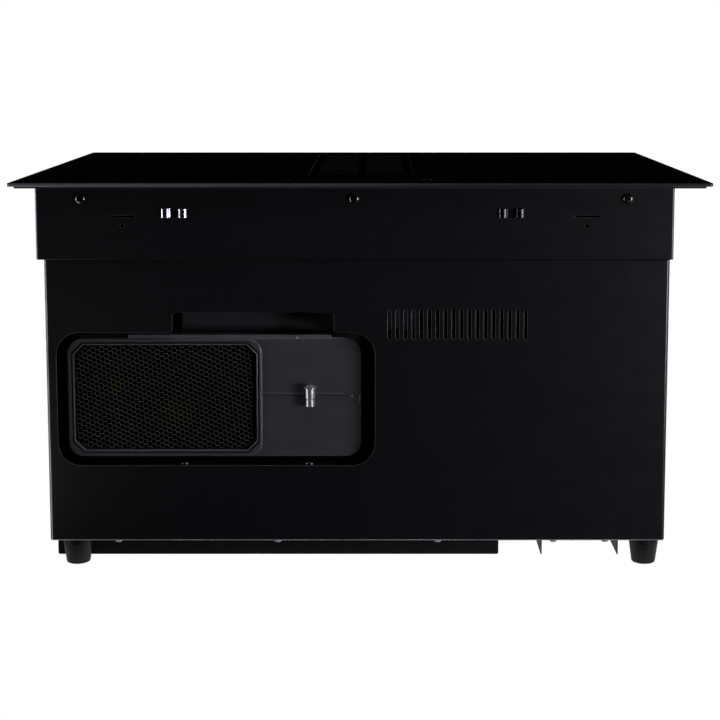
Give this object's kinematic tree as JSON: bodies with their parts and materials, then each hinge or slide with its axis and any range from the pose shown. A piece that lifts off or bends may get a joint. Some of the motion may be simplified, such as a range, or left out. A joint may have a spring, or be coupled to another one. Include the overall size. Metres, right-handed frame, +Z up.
{
  "type": "downdraft induction cooktop",
  "caption": "Built-in induction hob with a central extractor: glass top, shallow casing, and a lower body that holds the blower, its filters and a side air outlet.",
  "frame": {"origin": "on the floor plane, under the middle of the glass top", "axes": "+X to the right of a person facing the outlet side, +Y away from that person, +Z up"},
  "size_m": [0.77, 0.52, 0.438],
  "materials": {
    "black_glass": "polished",
    "foam_seal": "matte",
    "black_paint": "satin",
    "dark_steel": "satin",
    "bright_steel": "polished",
    "zinc_steel": "satin",
    "aluminium": "satin",
    "black_plastic": "matte",
    "carbon_media": "matte",
    "rubber": "matte",
    "copper_winding": "satin",
    "circuit_board": "gloss"
  },
  "bodies": {
    "chassis": {"glass_top": "black_glass", "glass_seal": "foam_seal", "upper_casing": "black_paint", "casing_screw_1": "dark_steel", "casing_screw_2": "dark_steel", "casing_screw_3": "dark_steel", "coil_plate_left": "aluminium", "coil_plate_right": "aluminium", "coil_left_front": "copper_winding", "coil_left_back": "copper_winding", "coil_right_front": "copper_winding", "coil_right_back": "copper_winding", "control_board": "circuit_board", "control_carrier": "black_plastic", "power_board_left": "circuit_board", "power_board_right": "circuit_board", "heat_sink_left": "aluminium", "heat_sink_right": "aluminium", "cooling_fan_frame": "black_plastic", "intake_throat": "black_plastic", "plenum_box": "black_plastic", "volute_upper_shell": "black_plastic", "volute_lower_shell": "black_plastic", "clamp_pin": "bright_steel", "blower_stand": "black_paint", "lip_screw_1": "zinc_steel", "lip_screw_2": "zinc_steel", "motor_body": "dark_steel", "front_panel": "black_paint", "rear_panel": "black_paint", "side_panel_left": "black_paint", "side_panel_right": "black_paint", "base_plate": "black_paint", "base_screw_1": "zinc_steel", "base_screw_2": "zinc_steel", "base_screw_3": "zinc_steel", "base_screw_4": "zinc_steel", "base_screw_5": "zinc_steel", "divider_wall": "zinc_steel", "sump_pan": "black_paint", "cable_guard": "black_paint", "cable_gland": "black_plastic", "terminal_block": "black_plastic", "foot_front_left": "rubber", "foot_front_right": "rubber", "foot_back_left": "rubber", "foot_back_right": "rubber", "blower_driver_board": "circuit_board"},
    "grille": {"vent_grille": "dark_steel"},
    "filter_cassette": {"grease_filter": "aluminium"},
    "outlet_filter": {"carbon_filter": "carbon_media"},
    "blower_rotor": {"impeller": "black_plastic", "drive_shaft": "zinc_steel"},
    "fan_rotor": {"cooling_fan_rotor": "black_plastic"},
    "clip_front_1": {"spring_clip_front_1": "bright_steel"},
    "clip_front_2": {"spring_clip_front_2": "bright_steel"},
    "clip_rear_1": {"spring_clip_rear_1": "bright_steel"},
    "clip_rear_2": {"spring_clip_rear_2": "bright_steel"}
  },
  "joints": [
    {"name": "grille_lift", "type": "slide", "parent": "chassis", "child": "grille", "axis": [0, 0, 1], "range_m": [0, 0.24]},
    {"name": "filter_lift", "type": "slide", "parent": "chassis", "child": "filter_cassette", "axis": [0, 0, 1], "range_m": [0, 0.12]},
    {"name": "carbon_filter_slide", "type": "slide", "parent": "chassis", "child": "outlet_filter", "axis": [0, -1, 0], "range_m": [0, 0.08]},
    {"name": "blower_spin", "type": "hinge", "parent": "chassis", "child": "blower_rotor", "pos_m": [-0.125, 0.01, 0.19], "axis": [0, 0, 1], "continuous": true},
    {"name": "cooling_fan_spin", "type": "hinge", "parent": "chassis", "child": "fan_rotor", "pos_m": [0.15, -0.15, 0.33], "axis": [0, 0, 1], "continuous": true},
    {"name": "clip_press_front_1", "type": "slide", "parent": "chassis", "child": "clip_front_1", "axis": [0, 1, 0], "range_m": [0, 0.002], "stiffness_N_per_m": 4000},
    {"name": "clip_press_front_2", "type": "slide", "parent": "chassis", "child": "clip_front_2", "axis": [0, 1, 0], "range_m": [0, 0.002], "stiffness_N_per_m": 4000},
    {"name": "clip_press_rear_1", "type": "slide", "parent": "chassis", "child": "clip_rear_1", "axis": [0, -1, 0], "range_m": [0, 0.002], "stiffness_N_per_m": 4000},
    {"name": "clip_press_rear_2", "type": "slide", "parent": "chassis", "child": "clip_rear_2", "axis": [0, -1, 0], "range_m": [0, 0.002], "stiffness_N_per_m": 4000}
  ],
  "couplings": [
    {"joint": "filter_lift", "follows": "grille_lift", "ratio": 0.5}
  ]
}
